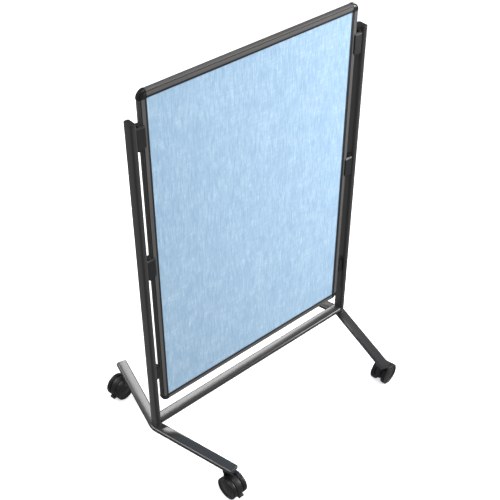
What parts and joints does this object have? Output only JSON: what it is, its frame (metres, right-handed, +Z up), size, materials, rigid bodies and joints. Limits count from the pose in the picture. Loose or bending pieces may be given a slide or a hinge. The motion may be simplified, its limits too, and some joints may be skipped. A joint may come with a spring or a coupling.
{
  "type": "mobile partition wall",
  "caption": "Fabric-faced pinboard panel in a rounded aluminium frame, held between two posts on splayed tube feet with hooded twin-wheel swivel castors.",
  "frame": {"origin": "on the floor, under the middle of the panel", "axes": "+X to the right along the panel seen from the front, +Y through the panel to the back, +Z up"},
  "size_m": [1.189, 0.935, 1.82],
  "materials": {
    "fabric": "light blue slubby linen-look weave",
    "board": "raw fibreboard",
    "frame": "graphite anodised, satin",
    "cap_plastic": "glossy ribbed moulding",
    "tube": "graphite semi-gloss powder coat",
    "moulded_plastic": "fine-grained black moulding",
    "wheel_plastic": "black nylon, semi-gloss",
    "steel": "zinc-plated"
  },
  "bodies": {
    "stand": {"panel_core": "board", "front_fabric": "fabric", "back_fabric": "fabric", "top_rail": "frame", "left_rail": "frame", "bottom_rail": "frame", "right_rail": "frame", "corner_cap_top_right": "cap_plastic", "corner_cap_bottom_right": "cap_plastic", "corner_cap_bottom_left": "cap_plastic", "corner_cap_top_left": "cap_plastic", "left_post": "tube", "left_post_cap": "moulded_plastic", "left_post_bolt": "steel", "right_post": "tube", "right_post_cap": "moulded_plastic", "right_post_bolt": "steel", "crossbar": "tube", "left_lower_bracket": "moulded_plastic", "left_lower_bracket_pin": "moulded_plastic", "right_lower_bracket": "moulded_plastic", "right_lower_bracket_pin": "moulded_plastic", "left_middle_bracket": "moulded_plastic", "left_middle_bracket_pin": "moulded_plastic", "right_middle_bracket": "moulded_plastic", "right_middle_bracket_pin": "moulded_plastic", "left_upper_bracket": "moulded_plastic", "left_upper_bracket_pin": "moulded_plastic", "right_upper_bracket": "moulded_plastic", "right_upper_bracket_pin": "moulded_plastic", "left_foot": "tube", "right_foot": "tube", "front_right_foot_end": "tube", "back_right_foot_end": "tube", "back_left_foot_end": "tube", "front_left_foot_end": "tube", "front_left_castor_stem": "steel", "back_left_castor_stem": "steel", "front_right_castor_stem": "steel", "back_right_castor_stem": "steel"},
    "front_left_castor": {"front_left_castor_hood": "moulded_plastic", "front_left_castor_axle": "steel"},
    "front_left_wheel_a": {"front_left_wheel_a": "wheel_plastic"},
    "front_left_wheel_b": {"front_left_wheel_b": "wheel_plastic"},
    "front_left_brake": {"front_left_brake_pedal": "moulded_plastic"},
    "back_left_castor": {"back_left_castor_hood": "moulded_plastic", "back_left_castor_axle": "steel"},
    "back_left_wheel_a": {"back_left_wheel_a": "wheel_plastic"},
    "back_left_wheel_b": {"back_left_wheel_b": "wheel_plastic"},
    "back_left_brake": {"back_left_brake_pedal": "moulded_plastic"},
    "front_right_castor": {"front_right_castor_hood": "moulded_plastic", "front_right_castor_axle": "steel"},
    "front_right_wheel_a": {"front_right_wheel_a": "wheel_plastic"},
    "front_right_wheel_b": {"front_right_wheel_b": "wheel_plastic"},
    "back_right_castor": {"back_right_castor_hood": "moulded_plastic", "back_right_castor_axle": "steel"},
    "back_right_wheel_a": {"back_right_wheel_a": "wheel_plastic"},
    "back_right_wheel_b": {"back_right_wheel_b": "wheel_plastic"}
  },
  "joints": [
    {"name": "front_left_swivel", "type": "hinge", "parent": "stand", "child": "front_left_castor", "pos_m": [-0.47427, -0.37581, 0.09], "axis": [0, 0, 1], "continuous": true},
    {"name": "front_left_wheel_a_spin", "type": "hinge", "parent": "front_left_castor", "child": "front_left_wheel_a", "pos_m": [-0.47301, -0.41179, 0.053], "axis": [0.9994, 0.0349, 0], "continuous": true},
    {"name": "front_left_wheel_b_spin", "type": "hinge", "parent": "front_left_castor", "child": "front_left_wheel_b", "pos_m": [-0.47301, -0.41179, 0.053], "axis": [0.9994, 0.0349, 0], "continuous": true},
    {"name": "front_left_brake", "type": "hinge", "parent": "front_left_castor", "child": "front_left_brake", "pos_m": [-0.47148, -0.45576, 0.033], "axis": [0.9994, 0.0349, 0], "range_deg": [0, 14]},
    {"name": "back_left_swivel", "type": "hinge", "parent": "stand", "child": "back_left_castor", "pos_m": [-0.47427, 0.37581, 0.09], "axis": [0, 0, 1], "continuous": true},
    {"name": "back_left_wheel_a_spin", "type": "hinge", "parent": "back_left_castor", "child": "back_left_wheel_a", "pos_m": [-0.50972, 0.36956, 0.053], "axis": [0.1736, -0.9848, 0], "continuous": true},
    {"name": "back_left_wheel_b_spin", "type": "hinge", "parent": "back_left_castor", "child": "back_left_wheel_b", "pos_m": [-0.50972, 0.36956, 0.053], "axis": [0.1736, -0.9848, 0], "continuous": true},
    {"name": "back_left_brake", "type": "hinge", "parent": "back_left_castor", "child": "back_left_brake", "pos_m": [-0.55305, 0.36191, 0.033], "axis": [0.1736, -0.9848, 0], "range_deg": [0, 14]},
    {"name": "front_right_swivel", "type": "hinge", "parent": "stand", "child": "front_right_castor", "pos_m": [0.47427, -0.37581, 0.09], "axis": [0, 0, 1], "continuous": true},
    {"name": "front_right_wheel_a_spin", "type": "hinge", "parent": "front_right_castor", "child": "front_right_wheel_a", "pos_m": [0.50983, -0.37017, 0.053], "axis": [-0.1564, 0.9877, 0], "continuous": true},
    {"name": "front_right_wheel_b_spin", "type": "hinge", "parent": "front_right_castor", "child": "front_right_wheel_b", "pos_m": [0.50983, -0.37017, 0.053], "axis": [-0.1564, 0.9877, 0], "continuous": true},
    {"name": "back_right_swivel", "type": "hinge", "parent": "stand", "child": "back_right_castor", "pos_m": [0.47427, 0.37581, 0.09], "axis": [0, 0, 1], "continuous": true},
    {"name": "back_right_wheel_a_spin", "type": "hinge", "parent": "back_right_castor", "child": "back_right_wheel_a", "pos_m": [0.47427, 0.41181, 0.053], "axis": [-1, 0, 0], "continuous": true},
    {"name": "back_right_wheel_b_spin", "type": "hinge", "parent": "back_right_castor", "child": "back_right_wheel_b", "pos_m": [0.47427, 0.41181, 0.053], "axis": [-1, 0, 0], "continuous": true}
  ]
}
